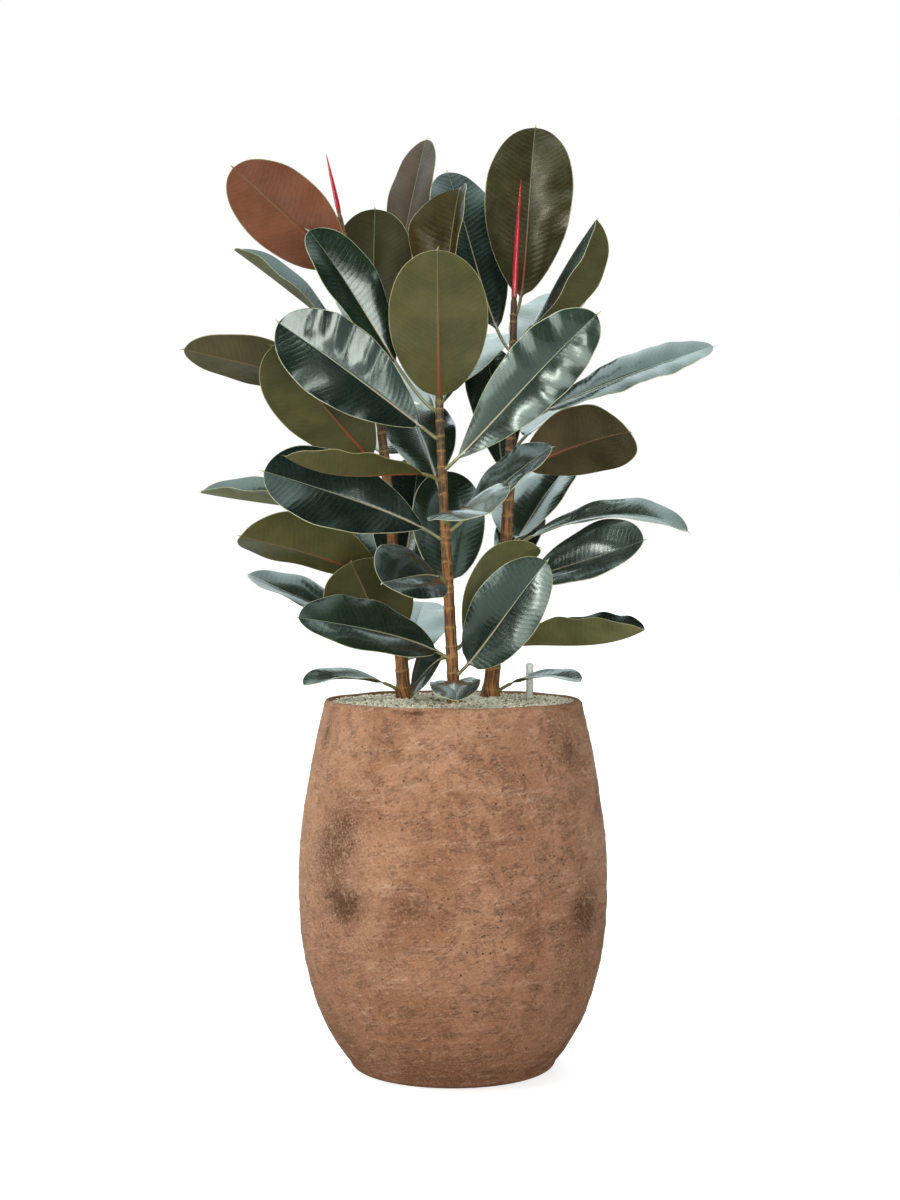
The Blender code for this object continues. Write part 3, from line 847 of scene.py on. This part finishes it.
def leaf_rings(name, stem, row):
    """The rings of one leaf from stalk to tip, with each point's place and share on the leaf."""
    height, tip, width, turn, droop, fold, stalk, base = row
    chance = random.Random(name)
    line, facing, outward = leaf_line(stem, height, tip, turn, droop)
    travelled = np.concatenate([[0], np.cumsum(np.linalg.norm(np.diff(line, axis=0), axis=1))])
    blade = travelled[-1] - stalk

    # Rings lie closer together near the blade's base and tip
    even = np.linspace(0, 1, BLADE_RINGS)
    on_blade = 0.62 * even + 0.38 * (0.5 - 0.5 * np.cos(pi * even))
    on_stalk = -np.linspace(1, 0, STALK_RINGS)[:-1] * stalk / blade
    shares = np.concatenate([on_stalk, on_blade])[:, None]
    distance = stalk + shares * blade
    centre, axis = (
        np.hstack([np.interp(distance, travelled, column) for column in rows.T])
        for rows in (line, np.gradient(line, travelled, axis=0))
    )
    axis = unit(axis)
    axis[0] = outward
    normal = unit(facing - (axis @ facing)[:, None] * axis)
    side = np.cross(axis, normal)
    # The stalk's foot reaches into the bark
    centre[0] -= outward * STALK_SUNK

    # The drip tip is hooked a little
    hook = smooth(shares, 0.955, 1.02) ** 1.5
    down, sideways = chance.uniform(0.001, 0.004), chance.uniform(-0.003, 0.003)
    centre += hook * (side * sideways - normal * down)

    # Points lie close together at the midrib and at the margin, where the blade is wide enough
    t = np.clip(shares, 0, 1)
    half = half_width(t, width, base)
    half = np.maximum(half, STALK_RADIUS * smooth(shares, 0.5, 0.0) * 0.98)
    room = smooth(half, 0.005, 0.012)
    near = np.array(NEAR_MIDRIB)
    steps = HALF_POINTS - len(near) - 1
    outer = near[-1] + (half - NEAR_MARGIN - near[-1]) * np.arange(1, steps + 1) / steps
    wide = np.hstack([near + 0 * half, outer, half - MARGIN_BEAD, half])
    narrow = half * np.linspace(0, 1, HALF_POINTS + 1)
    across = wide * room + narrow * (1 - room)
    signed = np.hstack([-across[:, :0:-1], across])
    out = np.abs(signed)

    # A groove along the midrib above, its ridge below, and a round bead at the margin
    along = shares * blade
    sheet, twist = blade_sheet(name, signed, half, along, t, fold, chance)
    full = BLADE_THICK + (MARGIN_THICK - BLADE_THICK) * out / half
    bead = np.clip((out - (half - MARGIN_BEAD)) / MARGIN_BEAD, 0, 1)
    thick = full / 2 * np.sqrt(1 - bead**2) * smooth(half, 0.0, 0.0022)
    groove = GROOVE_DEPTH * bell(out, GROOVE_WIDTH) * (1 - t * 0.7) * room
    ridge_height = RIDGE_HEIGHT[0] * (1 - t) ** 1.3 + RIDGE_HEIGHT[1]
    ridge = ridge_height * bell(out, RIDGE_WIDTH[0] * (1 - t) + RIDGE_WIDTH[1]) * room

    # The round stalk turns into the blade's section, which twists a little along the leaf
    flat = signed * cos(radians(fold))
    flat = there_and_back(flat, flat)
    lift = there_and_back(sheet + thick - groove, sheet - thick - ridge)
    roll = twist * (t - 0.4)
    angles = pi - pi * np.arange(4 * HALF_POINTS) / (2 * HALF_POINTS)
    radius = STALK_RADIUS * (1 + 0.45 * smooth(distance, 0.006, 0.0)) * (1 - 0.12 * t)
    leafy = smooth(shares, 0.0, 0.05)
    x = (flat * np.cos(roll) - lift * np.sin(roll)) * leafy + np.cos(angles) * radius * (1 - leafy)
    z = (flat * np.sin(roll) + lift * np.cos(roll)) * leafy + np.sin(angles) * radius * (1 - leafy)
    rings = centre[:, None] + x[..., None] * side[:, None] + z[..., None] * normal[:, None]
    signed = there_and_back(signed, signed)
    places = np.dstack([signed, along + 0 * signed, half - np.abs(signed)])
    return rings.reshape(-1, 3), places.reshape(-1, 3), np.repeat(shares, 4 * HALF_POINTS)


def make_leaf(name, stem, row, upper, lower, slot):
    rings, places, shares = leaf_rings(name, stem, row)
    sides = 4 * HALF_POINTS
    # The first half of each ring is the upper side, and so are both ends
    skins = ([0] * (sides // 2) + [1] * (sides // 2)) * (len(rings) // sides - 1) + [0] * 2 * sides
    painted = {"leaf_place": places, "leaf_share": shares}
    leaf = ring_piece(name + "_blade", rings, sides, (upper, lower), skins, **painted)
    settle(leaf, slot, name)


def make_leaves(slots):
    upper, lower = leaf_skins()
    for stem, rows in LEAVES.items():
        for number, row in enumerate(rows, 1):
            name = f"leaf_{stem}_{number:02d}"
            tone = random.Random(name + " tone").randint(1, 3)
            above = upper[UPPER_SKINS.get(name, f"teal {tone}")]
            below = lower[LOWER_SKINS.get(name, f"olive {tone}")]
            make_leaf(name, stem, row, above, below, slots[name])


def bark_material():
    """Bark: orange-brown and woody at the foot, red-brown and smoother above, with pale rings.

    The mesh holds bark_place, in metres: round the stem, up, and the share of the stem's height.
    bark_scar is 1 on a ring scar.
    """
    nodes = Finish("Bark")
    place = nodes.painted("bark_place", "Vector")
    pale = (164, 124, 72)
    streaks = nodes.noise(nodes.stretched(place, (420.0, 26.0, 0.0)), 1.0, 4.0, 0.6)
    blotches = nodes.noise(nodes.stretched(place, (90.0, 60.0, 0.0)), 1.0, 3.0, 0.55)
    woody = nodes.over((78, 48, 22), (162, 104, 42), streaks, 0.43, 0.62)
    young = nodes.over((58, 42, 28), (98, 68, 42), streaks, 0.43, 0.62)
    age = nodes.plus(nodes.apart(place)["Z"], blotches, 0.3)
    skin = nodes.over(woody, young, age, 0.45, 0.85)
    skin = nodes.over(skin, pale, blotches, 0.54, 0.66, 0.55)
    dots = nodes.cells(nodes.stretched(place, (330.0, 620.0, 0.0)), 1.0)
    dots = nodes.step(dots, 0.12, 0.24, 1.0, 0.0)
    skin = nodes.mix(nodes.times(dots, 0.8), skin, pale)
    skin = nodes.mix(nodes.times(nodes.painted("bark_scar"), 0.85), skin, pale)
    rough = nodes.step(streaks, 0.2, 0.8, 0.75, 0.5)
    height = nodes.plus(nodes.times(streaks, 0.9), dots, 0.4)
    return nodes.shade(skin, rough, height, 0.0007)


def make_stem(stem, bark):
    """A stem with fine bark relief, a ring scar at each leaf and old scars between them."""
    points, _ = STEMS[stem]
    foot, top = points[0][2], points[-1][2]
    chance = random.Random("rings of " + stem)
    scars = [row[0] + 0.003 for row in LEAVES[stem]]
    old = np.arange(foot + 0.016, top - 0.01, SCAR_SPACING)
    scars += [z + chance.uniform(-0.004, 0.004) for z in old if min(abs(z - s) for s in scars) > 0.009]
    rings, places, marks = [], [], []
    for z in np.linspace(foot, top, int((top - foot) / STEM_STEP)):
        axis = UP if z in (foot, top) else stem_axis(stem, z)
        centre = stem_point(stem, z)
        radius = stem_radius(stem, z)
        share = (z - foot) / (top - foot)
        ends = smooth(z, top, top - 0.006) * 0.25 + 0.75
        for angle, direction in spokes(axis, STEM_SIDES):
            wobble = 0.0008 * sin(angle * 2 + z * 60) + 0.0006 * sin(angle + z * 31)
            scar = max(exp(-(((z + wobble - s) / SCAR_WIDTH) ** 2)) for s in scars)
            swelling = max(exp(-(((z + 0.004 - s) / SWELLING_WIDTH) ** 2)) for s in scars)
            at = Vector((cos(angle) * 3, sin(angle) * 3, z * 26 + radius * 90))
            rough = noise.noise(at) * 0.035 + noise.noise(at * 3.1) * 0.02
            size = radius * (1 + rough * (1.2 - share))
            size += SCAR_HEIGHT * scar + SWELLING_HEIGHT * swelling
            rings.append(centre + direction * size * ends)
            places.append((radius * min(angle, tau - angle), z, share))
            marks.append(scar)
    painted = {"bark_place": places, "bark_scar": marks}
    piece = ring_piece(f"stem_{stem}_bark", rings, STEM_SIDES, (bark,), **painted)
    settle(piece, "bark", f"stem_{stem}")


def sheath_material():
    """Red with fine streaks, pale ones partly painted highlight, brown at the foot: sheath_place holds
    metres round and up, and a share.
    """
    nodes = Finish("Red sheath", coat_weight=0.3, coat_roughness=0.15)
    place = nodes.painted("sheath_place", "Vector")
    streaks = nodes.noise(nodes.stretched(place, (900.0, 22.0, 0.0)), 1.0, 3.0, 0.6)
    skin = nodes.over((138, 14, 30), (214, 34, 52), streaks, 0.35, 0.6)
    # Pale pink streaks: partly the skin's own streaks, partly a painted highlight along the sheath
    skin = nodes.over(skin, (236, 128, 128), streaks, 0.62, 0.8, 0.5)
    skin = nodes.over(skin, (140, 66, 44), nodes.apart(place)["Z"], 0.1, 0.0)
    return nodes.shade(skin, nodes.step(streaks, 0.3, 0.7, 0.36, 0.24), streaks, 0.0003)


def make_sheath(stem, material):
    """The rolled sheath: a slim cone whose overlapping edge winds once round it."""
    length, lean, widest = SHEATHS[stem]
    top = STEMS[stem][0][-1][2]
    start = stem_point(stem, top) + UP * GAP
    reach = np.array((*lean, sqrt(length**2 - lean[0] ** 2 - lean[1] ** 2)))
    bow = stem_axis(stem, top) * length - reach
    knots, sizes = np.array(SHEATH_SIZES).T
    rings, places = [], []
    for share in np.linspace(0, 1, SHEATH_RINGS):
        centre = start + reach * share + bow * share * (1 - share) * 0.6
        radius = widest * curve_through(sizes, knots, share)
        for angle, direction in spokes(unit(reach), SHEATH_SIDES):
            seam = (angle / tau - share * 0.8) % 1.0
            size = radius * (0.9 + 0.12 * seam) * (1 + 0.015 * sin(angle * 7))
            rings.append(centre + direction * size)
            places.append((radius * angle, share * length, share))
    sheath = ring_piece(f"sheath_{stem}_skin", rings, SHEATH_SIDES, (material,), sheath_place=places)
    settle(sheath, "red_sheath", f"sheath_{stem}")


def wall_mark(angle, z, marks):
    """The summed strength of the marks near a place on the wall."""
    total = 0.0
    for degrees, height, reach_round, reach_up, strength in marks:
        arc = ((angle - radians(degrees) + pi) % tau - pi) * MARKS_RADIUS
        total += strength * exp(-((arc / reach_round) ** 2) - ((z - height) / reach_up) ** 2)
    return total


def wall_relief(angle, z):
    """How far the trowelled wall stands proud of the smooth barrel."""
    x, y = sin(angle) * 0.2, -cos(angle) * 0.2
    lumps = noise.noise(Vector((x, y, z)) * 9.0) * 0.0013
    slant = z + 0.16 * x
    sweep = noise.noise(Vector((x * 9, y * 9, slant * 46 + 7)))
    strokes = (1 - abs(sweep)) ** 5 * 0.0007
    cross = noise.noise(Vector((x * 16 + 5, y * 16, (z - 0.5 * x) * 34)))
    smears = (1 - abs(cross)) ** 6 * 0.0006
    grit = noise.noise(Vector((x, y, z)) * 150.0) * 0.00016
    return (lumps + strokes + smears + grit - wall_mark(angle, z, DENTS)) * smooth(z, 0.0, 0.02)


def terracotta_material():
    """Trowelled terracotta-coloured finish: clouded clay, painted shade towards the foot, brown stains,
    scratches and grit.

    The mesh holds wall_stain, the strength of the brown stain.
    """
    nodes = Finish("Terracotta", specular_ior_level=0.25)
    spot = nodes.object_place()
    clouds = nodes.noise(spot, 9.0, 9.0, 0.6, 0.8)
    mottle = nodes.noise(spot, 48.0, 9.0, 0.72, 0.6)
    grain = nodes.noise(spot, 330.0, 4.0, 0.7)
    grit = nodes.noise(spot, 900.0, 2.0, 0.6)

    clay = nodes.mix(nodes.step(clouds, 0.34, 0.6, 0.45, 1.0), CLAY_DARK, CLAY)
    clay = nodes.over(clay, CLAY_DARK, mottle, 0.5, 0.34, 0.16)
    clay = nodes.over(clay, CLAY_PALE, mottle, 0.54, 0.7, 0.4)
    # Painted shade: the clay darkens towards the planter's foot
    clay = nodes.over(clay, CLAY_DARK, nodes.apart(spot)["Z"], 0.3, 0.0, 0.62)

    # The trowel's strokes: broad ridges and thin scratches, level and slanting either way
    strokes, scratch = 0.0, 0.0
    for along, across, turn, depth in CLAY_STROKES:
        drawn = nodes.noise(nodes.stretched(spot, (along, along, across), turn), 1.0, 5.0, 0.62, 0.35)
        strokes = nodes.plus(strokes, drawn, depth)
        off_middle = nodes.math("ABSOLUTE", nodes.math("SUBTRACT", drawn, 0.5))
        scratch = nodes.math("MAXIMUM", scratch, nodes.step(off_middle, 0.008, 0.0))
    scratch = nodes.times(scratch, nodes.step(mottle, 0.46, 0.58))
    clay = nodes.over(clay, CLAY_PALE, strokes, 1.32, 1.62, 0.6)
    clay = nodes.over(clay, CLAY_DARK, strokes, 1.34, 0.9, 0.34)
    clay = nodes.over(clay, CLAY_PALE, grain, 0.54, 0.68, 0.5)
    clay = nodes.over(clay, CLAY_DARK, grain, 0.45, 0.31, 0.72)

    # Brown stains, broken up by the clay's own roughness
    loose = nodes.noise(spot, 16.0, 9.0, 0.7, 0.5)
    patchy = nodes.plus(nodes.painted("wall_stain"), nodes.step(loose, 0.54, 0.74), 0.25)
    patchy = nodes.times(patchy, nodes.step(mottle, 0.62, 0.42, 0.35, 1.0))
    patchy = nodes.times(patchy, nodes.step(grain, 0.62, 0.45, 0.45, 1.0))
    clay = nodes.over(clay, CLAY_STAIN, patchy, 0.0, 0.65, 0.85)

    # Scratches and small pits are the darkest
    clay = nodes.mix(nodes.times(scratch, 0.32), clay, CLAY_STAIN)
    pits = nodes.step(nodes.cells(spot, 110.0), 0.17, 0.07)
    pits = nodes.times(pits, nodes.step(loose, 0.48, 0.58))
    clay = nodes.mix(nodes.times(pits, 0.8), clay, CLAY_PIT)
    height = strokes
    for relief, depth in ((mottle, 0.8), (grain, 0.4), (grit, 0.12), (scratch, -0.22), (pits, -0.6)):
        height = nodes.plus(height, relief, depth)
    return nodes.shade(clay, nodes.step(grain, 0.2, 0.8, 0.95, 0.78), height, 0.0052)


def make_pot(material):
    """The planter's shell, turned from floor to rim and down to the foot, with a trowelled wall."""
    (high, rim), (low, foot) = BARREL[0], BARREL[-1]
    heights, radii = np.array(BARREL[::-1]).T
    profile = [(INSIDE_FLOOR_RADIUS, POT_FLOOR)]
    profile += [(radius - POT_WALL, z) for z, radius in BARREL[::-1] if z > POT_FLOOR + 0.02]
    lip, lip_height = POT_WALL / 2 - 0.0008, 0.0035
    for angle in np.linspace(pi, 0, 13)[1:-1]:
        out, up = lip * cos(angle), lip_height * sin(angle)
        profile.append((rim - POT_WALL / 2 + out, POT_HEIGHT - lip_height + up))
    first_outer = len(profile)
    wall = high + (low - high) * np.linspace(0, 1, POT_RINGS)
    profile += [(curve_through(radii, heights, z), z) for z in wall]
    for k in range(1, 7):
        angle = pi / 2 * k / 6
        inwards = (foot - FOOT_RADIUS) * (1 - cos(angle))
        profile.append((foot - inwards, low * (1 - sin(angle))))
    rings, stains = [], []
    for i, (radius, z) in enumerate(profile):
        outer = i >= first_outer
        near_rim = smooth(z, POT_HEIGHT - 0.03, POT_HEIGHT - 0.005)
        for k in range(POT_STEPS):
            angle = tau * k / POT_STEPS
            x, y = sin(angle), -cos(angle)
            size = radius + (wall_relief(angle, z) if outer and z > 0 else 0.0)
            lift = noise.noise(Vector((x * 2.2, -y * 2.2, 4.0))) * 0.0016 * near_rim
            rings.append((x * size, y * size, z + lift))
            stains.append(wall_mark(angle, z, STAINS) if outer else INSIDE_STAIN)
    pot = ring_piece("planter_shell", rings, POT_STEPS, (material,), wall_stain=stains)
    recalculated(pot)
    settle(pot, "terracotta", "pot")


def granule_material():
    """Pale granules, whose tone differs from one to the next: the mesh holds granule_tone."""
    nodes = Finish("Granules")
    tone = nodes.painted("granule_tone")
    grain = nodes.noise(nodes.object_place(), 1400.0, 2.0, 0.7)
    skin = nodes.over((212, 206, 182), (252, 246, 222), tone, 0.25, 0.75)
    skin = nodes.over(skin, (110, 90, 68), tone, 0.82, 0.86, 0.9)
    skin = nodes.over(skin, (248, 246, 234), grain, 0.5, 0.8, 0.6)
    return nodes.shade(skin, nodes.step(grain, 0.2, 0.8, 0.95, 0.8), grain, 0.0005)


def fill_material():
    """The damp fill under the granules."""
    nodes = Finish("Fill under the granules")
    cells = nodes.cells(nodes.object_place(), 210.0)
    skin = nodes.over((120, 106, 84), (58, 46, 34), cells, 0.15, 0.6)
    rough = nodes.step(cells, 0.0, 0.8, 0.8, 0.95)
    return nodes.shade(skin, rough, nodes.math("SUBTRACT", 1.0, cells), 0.002)


def granule_tree():
    """Geometry Nodes: small squashed stones strewn on a disc, each with its own turn, size and tone."""
    takes = {
        "Geometry": "Geometry",
        "Stone size": "Float",
        "Spacing": "Float",
        "Seed": "Int",
        "Finish": "Material",
    }
    nodes, given = group("Strewn granules", "GeometryNodeTree", takes, {"Geometry": "Geometry"})
    seed = given["Seed"]
    ground = {"Mesh": given["Geometry"], "Distance Min": given["Spacing"], "Seed": seed}
    ground["Density Max"] = 260000.0
    strewn = nodes.add("GeometryNodeDistributePointsOnFaces", ground, distribute_method="POISSON")
    stone = nodes.add("GeometryNodeMeshIcoSphere", {"Radius": 0.5, "Subdivisions": 1})
    turns = {0: (0.0, 0.0, 0.0), 1: (6.28, 6.28, 6.28), "Seed": seed}
    spin = nodes.add("FunctionNodeRandomValue", turns, data_type="FLOAT_VECTOR")
    shapes = {0: (0.75, 0.6, 0.45), 1: (1.45, 1.15, 0.95), "Seed": 5}
    squash = nodes.add("FunctionNodeRandomValue", shapes, data_type="FLOAT_VECTOR")
    sized = {0: squash[0], "Scale": given["Stone size"]}
    size = nodes.add("ShaderNodeVectorMath", sized, operation="SCALE")
    copies = {"Points": strewn["Points"], "Instance": stone["Mesh"]}
    copies.update(Rotation=spin[0], Scale=size[0])
    stones = nodes.add("GeometryNodeInstanceOnPoints", copies)["Instances"]
    tone = nodes.add("FunctionNodeRandomValue", {"Seed": 9}, data_type="FLOAT")
    toned = {"Geometry": stones, "Name": "granule_tone", "Value": tone[1]}
    settings = {"data_type": "FLOAT", "domain": "INSTANCE"}
    stones = nodes.add("GeometryNodeStoreNamedAttribute", toned, **settings)["Geometry"]
    stones = nodes.add("GeometryNodeRealizeInstances", {"Geometry": stones})["Geometry"]
    finished = {"Geometry": stones, "Material": given["Finish"]}
    stones = nodes.add("GeometryNodeSetMaterial", finished)["Geometry"]
    nodes.add("NodeGroupOutput", {"Geometry": stones})
    return nodes.tree


def make_granules(material):
    """The strewn granules, as one plain mesh from the Geometry Nodes tree."""
    source = disc("granule disc", 96, FILL_RADIUS - 0.002, FILL_HEIGHT + 0.0002)
    strew = source.modifiers.new("Strew", "NODES")
    strew.node_group = granule_tree()
    values = {"Stone size": GRANULE_SIZE, "Spacing": GRANULE_SPACING, "Seed": 11, "Finish": material}
    for item in strew.node_group.interface.items_tree:
        if item.in_out == "INPUT" and item.name in values:
            strew[item.identifier] = values[item.name]
    bpy.context.view_layer.update()
    evaluated = source.evaluated_get(bpy.context.evaluated_depsgraph_get())
    mesh = bpy.data.meshes.new_from_object(evaluated)
    bpy.data.objects.remove(source)
    settle(in_scene("loose_granules", mesh), "granulate")


def gauge_tree(tones):
    """A smooth skin with a little grime."""
    nodes, given = skin_group("Gauge skin", tones)
    grime = nodes.noise(nodes.object_place(), 160.0, 3.0)
    skin = nodes.over(given["Body"], given["Mark"], grime, 0.5, 0.8, 0.5)
    rough = nodes.step(grime, 0.3, 0.7, 0.22, 0.38)
    nodes.add("NodeGroupOutput", {"Color": skin, "Roughness": rough, "Height": grime})
    return nodes.tree


def gauge_piece(name, profile, material):
    """A closed turned piece of the gauge, its (radius, height) points running down the outside."""
    around = spokes(UP, GAUGE_STEPS)
    rings = [GAUGE_PLACE + way * radius + UP * z for radius, z in profile for _, way in around]
    piece = ring_piece(name, rings, GAUGE_STEPS, (material,))
    recalculated(piece)
    piece.data.set_sharp_from_angle(angle=radians(40))
    settle(piece, "gauge_tube", "water_gauge")


def gauge_line(degrees, spread, low, high):
    """The eight corners of a thin mark on the gauge's tube."""
    corners = []
    for radius in (GAUGE_RADIUS - 0.0003, GAUGE_RADIUS + 0.00015):
        for turn, z in ((-spread, low), (spread, low), (spread, high), (-spread, high)):
            angle = radians(degrees + turn)
            way = np.array((cos(angle), sin(angle), 0.0))
            corners.append(GAUGE_PLACE + way * radius + UP * z)
    return corners


def make_gauge():
    """The water gauge: a pale tube with thin grey marks on it, under a slightly wider cap."""
    foot = FILL_HEIGHT + GAP
    top = foot + GAUGE_HEIGHT
    r = GAUGE_RADIUS
    whites = {"Body": (226, 230, 226), "Mark": (176, 182, 178)}
    greys = {"Body": (150, 158, 158), "Mark": (104, 112, 112)}
    tree = gauge_tree(whites)
    white = skin_material("Gauge white", tree, whites, 0.0001, coat_weight=0.2)
    grey = skin_material("Gauge grey", tree, greys, 0.0001, coat_weight=0.2)
    tube = ((r - 0.0009, top - 0.007), (r, top - 0.0073), (r, foot + 0.001), (r - 0.0006, foot))
    gauge_piece("gauge_tube", tube, white)
    cap = [(0.0015, top), (r - 0.0018, top - 0.0004), (r - 0.0004, top - 0.0014)]
    cap += [(r + 0.0005, top - 0.0032), (r + 0.0006, top - 0.0062)]
    cap += [(r + 0.0002, top - 0.007), (r - 0.001, top - 0.0072)]
    gauge_piece("gauge_cap", cap, white)

    # Thin grey lines run up the tube's sides, with short level marks across its front
    points = gauge_line(200, 3.0, foot + 0.004, top - 0.01)
    points += gauge_line(340, 3.0, foot + 0.004, top - 0.01)
    for step in range(6):
        z = foot + 0.01 + step * 0.005
        points += gauge_line(270, 22.0 if step % 2 else 14.0, z, z + 0.0007)
    quads = ((0, 1, 2, 3), (7, 6, 5, 4), (0, 4, 5, 1), (1, 5, 6, 2), (2, 6, 7, 3), (3, 7, 4, 0))
    faces = [tuple(start + i for i in quad) for start in range(0, len(points), 8) for quad in quads]
    lines = mesh_object("gauge_marks", points, faces, (grey,))
    lines.data.shade_flat()
    recalculated(lines)
    settle(lines, "gauge_tube", "water_gauge")


def make_floor():
    """A wide pale floor. It looks evenly white, and lights the plant only with what it reflects."""
    nodes = Finish("Pale floor", roughness=0.9)
    haze = nodes.noise(nodes.object_place(), 0.7)
    tone = nodes.mix(haze, (0.48, 0.48, 0.48, 1.0), (0.52, 0.52, 0.52, 1.0))
    nodes.put(nodes.shader["Base Color"], tone)
    nodes.put(nodes.shader["Emission Color"], WHITE)
    nodes.put(nodes.shader["Emission Strength"], nodes.times(nodes.seen(), 0.75))
    floor = disc("floor", 128, 30.0, -0.0004)
    floor.data.materials.append(nodes.material)


def area_light(name, place, target, size, power, tint):
    data = bpy.data.lights.new(name, "AREA")
    data.shape = "RECTANGLE"
    data.size, data.size_y = size
    data.energy = power
    data.color = tint
    lamp = in_scene(name, data)
    lamp.location = place
    lamp.rotation_euler = (Vector(target) - Vector(place)).to_track_quat("-Z", "Y").to_euler()


def make_light():
    """Soft studio light: a pale surround that is brightest above and behind, and the soft boxes."""
    world = bpy.data.worlds.new("Pale surround")
    world.use_nodes = True
    nodes = Nodes(world.node_tree)
    x, y, z = nodes.apart(nodes.add("ShaderNodeTexCoord")["Generated"])
    lean = nodes.plus(nodes.times(y, SKY_LEAN[1]), x, SKY_LEAN[0])
    above = nodes.step(nodes.plus(lean, z), *SKY_ABOVE_FROM, 0.0, SKY_ABOVE)
    behind = nodes.step(y, *SKY_BEHIND_FROM)
    behind = nodes.times(behind, nodes.step(z, *SKY_BEHIND_UP, 0.0, SKY_BEHIND))
    glow = nodes.plus(nodes.math("MAXIMUM", above, behind), SKY_ELSEWHERE)
    seen = nodes.seen()
    background = world.node_tree.nodes["Background"].inputs
    nodes.put(background["Color"], nodes.mix(seen, SKY_TINT, WHITE))
    nodes.put(background["Strength"], nodes.step(seen, 0.0, 1.0, glow, 1.0))
    bpy.context.scene.world = world
    for name, values in LIGHTS.items():
        area_light(name, *values)
    bpy.context.scene.view_settings.view_transform = "Standard"


def make_camera():
    data = bpy.data.cameras.new("Camera")
    data.lens = CAMERA_LENS
    data.sensor_width = CAMERA_SENSOR
    camera = in_scene("Camera", data)
    camera.location = CAMERA_PLACE
    camera.rotation_euler = (radians(90 - CAMERA_DOWN), 0, 0)
    bpy.context.scene.camera = camera


def main():
    slots = {part["node"]: part["material_slot"] for part in frame["record"]["subparts"]}
    make_camera()
    make_pot(terracotta_material())
    fill = frame["nodes"]["granulate"].data.materials
    fill.clear()
    fill.append(fill_material())
    make_granules(granule_material())
    make_gauge()
    bark = bark_material()
    red = sheath_material()
    for stem in STEMS:
        make_stem(stem, bark)
        make_sheath(stem, red)
    make_leaves(slots)
    make_floor()
    make_light()


main()
